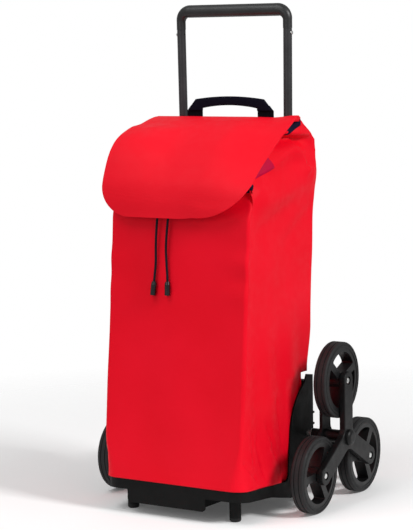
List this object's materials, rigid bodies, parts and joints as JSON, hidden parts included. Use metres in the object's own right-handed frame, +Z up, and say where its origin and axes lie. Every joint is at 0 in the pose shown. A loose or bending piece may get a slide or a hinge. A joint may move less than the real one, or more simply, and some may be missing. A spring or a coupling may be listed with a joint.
{
  "type": "stair-climbing shopping trolley",
  "caption": "Upright shopping trolley: soft bag with hinged flap on a tubular frame, moulded base, and stair-climbing wheel clusters at both ends of its axle.",
  "frame": {"origin": "on the floor, below the centre of the bounding box", "axes": "+Z up, -Y towards the bag's front panel, X along the axle"},
  "size_m": [0.523, 0.45, 1],
  "materials": {
    "tyre_rubber": "matt black rubber",
    "wheel_plastic": "satin moulded black",
    "base_plastic": "fine-textured moulded black",
    "pad_rubber": "matt black rubber",
    "star_plastic": "satin moulded dark grey",
    "bush_plastic": "natural acetal",
    "zinc_steel": "bright zinc plate",
    "tube_paint": "satin anthracite powder coat",
    "grip_plastic": "satin black moulding",
    "bag_fabric": "coated red polyester",
    "flap_fabric": "coated red polyester, doubled",
    "board_plastic": "pressed board",
    "navy_webbing": "woven navy webbing",
    "tag_fabric": "dark red woven tag",
    "tip_plastic": "gloss black",
    "navy_cord": "braided navy cord"
  },
  "bodies": {
    "frame": {"base_tray": "base_plastic", "axle_bracket_left": "base_plastic", "axle_bracket_right": "base_plastic", "foot_left": "base_plastic", "foot_right": "base_plastic", "foot_pad_left": "pad_rubber", "foot_pad_right": "pad_rubber", "axle": "zinc_steel", "axle_clips": "zinc_steel", "frame_tube_left": "tube_paint", "frame_tube_right": "tube_paint", "handle_grip": "grip_plastic", "grip_screws": "zinc_steel", "bag_shell": "bag_fabric", "bag_board": "board_plastic", "mouth_binding": "navy_webbing", "cord_eyelets": "zinc_steel", "bag_sleeve_left": "bag_fabric", "bag_sleeve_right": "bag_fabric", "side_tag": "tag_fabric", "cord_left": "navy_cord", "cord_right": "navy_cord", "cord_tip_left": "tip_plastic", "cord_tip_right": "tip_plastic"},
    "star_left": {"star_outer_plate_left": "star_plastic", "star_inner_plate_left": "star_plastic", "star_bushes_left": "bush_plastic", "star_spacer_left": "star_plastic", "hub_cap_left": "star_plastic", "wheel_pins_left": "zinc_steel", "pin_nuts_left": "zinc_steel"},
    "wheel_left_top": {"tyre_left_top": "tyre_rubber", "rim_left_top": "wheel_plastic", "bush_left_top": "bush_plastic"},
    "wheel_left_front": {"tyre_left_front": "tyre_rubber", "rim_left_front": "wheel_plastic", "bush_left_front": "bush_plastic"},
    "wheel_left_rear": {"tyre_left_rear": "tyre_rubber", "rim_left_rear": "wheel_plastic", "bush_left_rear": "bush_plastic"},
    "star_right": {"star_outer_plate_right": "star_plastic", "star_inner_plate_right": "star_plastic", "star_bushes_right": "bush_plastic", "star_spacer_right": "star_plastic", "hub_cap_right": "star_plastic", "wheel_pins_right": "zinc_steel", "pin_nuts_right": "zinc_steel"},
    "wheel_right_top": {"tyre_right_top": "tyre_rubber", "rim_right_top": "wheel_plastic", "bush_right_top": "bush_plastic"},
    "wheel_right_front": {"tyre_right_front": "tyre_rubber", "rim_right_front": "wheel_plastic", "bush_right_front": "bush_plastic"},
    "wheel_right_rear": {"tyre_right_rear": "tyre_rubber", "rim_right_rear": "wheel_plastic", "bush_right_rear": "bush_plastic"},
    "flap": {"flap": "flap_fabric"},
    "carry_strap": {"carry_strap": "navy_webbing"}
  },
  "joints": [
    {"name": "star_left_turn", "type": "hinge", "parent": "frame", "child": "star_left", "pos_m": [-0.2275, 0.0485, 0.13425], "axis": [1, 0, 0], "continuous": true},
    {"name": "wheel_left_top_spin", "type": "hinge", "parent": "star_left", "child": "wheel_left_top", "pos_m": [-0.2255, 0.0485, 0.24975], "axis": [1, 0, 0], "continuous": true},
    {"name": "wheel_left_front_spin", "type": "hinge", "parent": "star_left", "child": "wheel_left_front", "pos_m": [-0.2255, -0.05153, 0.0765], "axis": [1, 0, 0], "continuous": true},
    {"name": "wheel_left_rear_spin", "type": "hinge", "parent": "star_left", "child": "wheel_left_rear", "pos_m": [-0.2255, 0.14853, 0.0765], "axis": [1, 0, 0], "continuous": true},
    {"name": "star_right_turn", "type": "hinge", "parent": "frame", "child": "star_right", "pos_m": [0.2275, 0.0485, 0.13425], "axis": [1, 0, 0], "continuous": true},
    {"name": "wheel_right_top_spin", "type": "hinge", "parent": "star_right", "child": "wheel_right_top", "pos_m": [0.2255, 0.0485, 0.24975], "axis": [1, 0, 0], "continuous": true},
    {"name": "wheel_right_front_spin", "type": "hinge", "parent": "star_right", "child": "wheel_right_front", "pos_m": [0.2255, -0.05153, 0.0765], "axis": [1, 0, 0], "continuous": true},
    {"name": "wheel_right_rear_spin", "type": "hinge", "parent": "star_right", "child": "wheel_right_rear", "pos_m": [0.2255, 0.14853, 0.0765], "axis": [1, 0, 0], "continuous": true},
    {"name": "flap_hinge", "type": "hinge", "parent": "frame", "child": "flap", "pos_m": [0, 0.02, 0.774], "axis": [-1, 0, 0], "range_deg": [0, 95]},
    {"name": "strap_fold", "type": "hinge", "parent": "frame", "child": "carry_strap", "pos_m": [0, 0.0285, 0.772], "axis": [-1, 0, 0], "range_deg": [0, 70], "stiffness_Nm_per_rad": 0.08}
  ]
}
